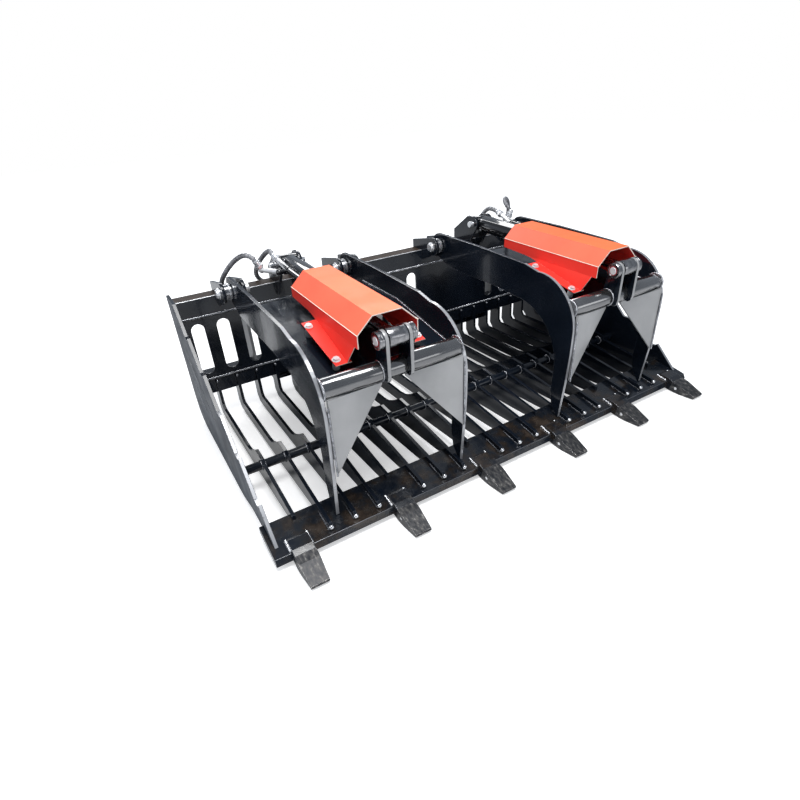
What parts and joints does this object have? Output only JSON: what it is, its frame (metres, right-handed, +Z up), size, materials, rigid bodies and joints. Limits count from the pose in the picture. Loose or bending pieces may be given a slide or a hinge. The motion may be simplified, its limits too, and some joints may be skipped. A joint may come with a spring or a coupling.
{
  "type": "grapple bucket",
  "caption": "Skeleton grapple bucket for a skid-steer loader, with toothed cutting edge and separate hydraulic grapple arms that clamp down on the load.",
  "frame": {"origin": "middle of the bucket's width and depth, on the ground that its flat bottom stands on", "axes": "+X across the bucket to the right of someone who looks into it from the teeth's side over their tips, -Y towards the teeth, +Z up"},
  "size_m": [1.857, 1.1928, 0.7091],
  "materials": {
    "black_paint": "gloss black powder coat over welded steel",
    "grey_paint": "grey paint",
    "wear_steel": "dark semi-gloss paint on hard wear steel",
    "cast_teeth": "rough dark cast alloy steel",
    "zinc": "zinc plated",
    "red_paint": "gloss red-orange powder coat",
    "barrel_paint": "gloss black paint",
    "chrome_rod": "hard chrome",
    "hose_rubber": "black braided hose cover"
  },
  "bodies": {
    "bucket": {"side_plate_left": "black_paint", "side_plate_right": "black_paint", "back_plate": "black_paint", "lower_rail": "black_paint", "top_tube": "black_paint", "rear_cross_tube": "black_paint", "cross_rod": "black_paint", "tines_left": "black_paint", "tines_middle": "black_paint", "tines_right": "black_paint", "tooth_tines": "black_paint", "hinge_lugs_left": "black_paint", "hinge_lugs_right": "black_paint", "cylinder_lugs_left": "black_paint", "cylinder_lugs_right": "black_paint", "mount_sides": "black_paint", "mount_top_lip": "black_paint", "mount_foot": "black_paint", "rear_ribs": "grey_paint", "cutting_edge": "wear_steel", "tooth_adapters": "wear_steel", "tooth_1": "cast_teeth", "tooth_2": "cast_teeth", "tooth_3": "cast_teeth", "tooth_4": "cast_teeth", "tooth_5": "cast_teeth", "tooth_6": "cast_teeth", "tooth_pins": "zinc", "hinge_pins": "zinc", "base_pins": "zinc", "hose_tee_block": "zinc", "hoses_left": "hose_rubber", "hoses_right": "hose_rubber"},
    "grapple_left": {"arm_left_outer": "black_paint", "arm_left_inner": "black_paint", "cover_left": "black_paint", "grapple_tube_left": "black_paint", "gussets_left": "black_paint", "rod_lugs_left": "black_paint", "guard_left": "red_paint", "guard_bolts_left": "zinc", "rod_pin_left": "zinc"},
    "cylinder_barrel_left": {"barrel_left": "barrel_paint", "gland_left": "barrel_paint"},
    "cylinder_rod_left": {"rod_left": "chrome_rod", "piston_left": "chrome_rod"},
    "grapple_right": {"arm_right_outer": "black_paint", "arm_right_inner": "black_paint", "cover_right": "black_paint", "grapple_tube_right": "black_paint", "gussets_right": "black_paint", "rod_lugs_right": "black_paint", "guard_right": "red_paint", "guard_bolts_right": "zinc", "rod_pin_right": "zinc"},
    "cylinder_barrel_right": {"barrel_right": "barrel_paint", "gland_right": "barrel_paint"},
    "cylinder_rod_right": {"rod_right": "chrome_rod", "piston_right": "chrome_rod"}
  },
  "joints": [
    {"name": "grapple_left_hinge", "type": "hinge", "parent": "bucket", "child": "grapple_left", "pos_m": [-0.4675, 0.35695, 0.556], "axis": [-1, 0, 0], "range_deg": [0, 45]},
    {"name": "cylinder_left_pivot", "type": "hinge", "parent": "bucket", "child": "cylinder_barrel_left", "pos_m": [-0.4675, 0.37095, 0.615], "axis": [-1, 0, 0], "range_deg": [0, 45.5], "deforming": ["hoses_left"]},
    {"name": "cylinder_left_stroke", "type": "slide", "parent": "cylinder_barrel_left", "child": "cylinder_rod_left", "axis": [0, -0.9991, -0.0415], "range_m": [-0.047, 0]},
    {"name": "grapple_right_hinge", "type": "hinge", "parent": "bucket", "child": "grapple_right", "pos_m": [0.4675, 0.35695, 0.556], "axis": [-1, 0, 0], "range_deg": [0, 45]},
    {"name": "cylinder_right_pivot", "type": "hinge", "parent": "bucket", "child": "cylinder_barrel_right", "pos_m": [0.4675, 0.37095, 0.615], "axis": [-1, 0, 0], "range_deg": [0, 45.5], "deforming": ["hoses_right"]},
    {"name": "cylinder_right_stroke", "type": "slide", "parent": "cylinder_barrel_right", "child": "cylinder_rod_right", "axis": [0, -0.9991, -0.0415], "range_m": [-0.047, 0]}
  ],
  "couplings": [
    {"joint": "cylinder_left_pivot", "follows": "grapple_left_hinge", "ratio": 1.0039},
    {"joint": "cylinder_left_stroke", "follows": "grapple_left_hinge", "m_per_rad": -0.059054},
    {"joint": "cylinder_right_pivot", "follows": "grapple_right_hinge", "ratio": 1.0039},
    {"joint": "cylinder_right_stroke", "follows": "grapple_right_hinge", "m_per_rad": -0.059054}
  ]
}
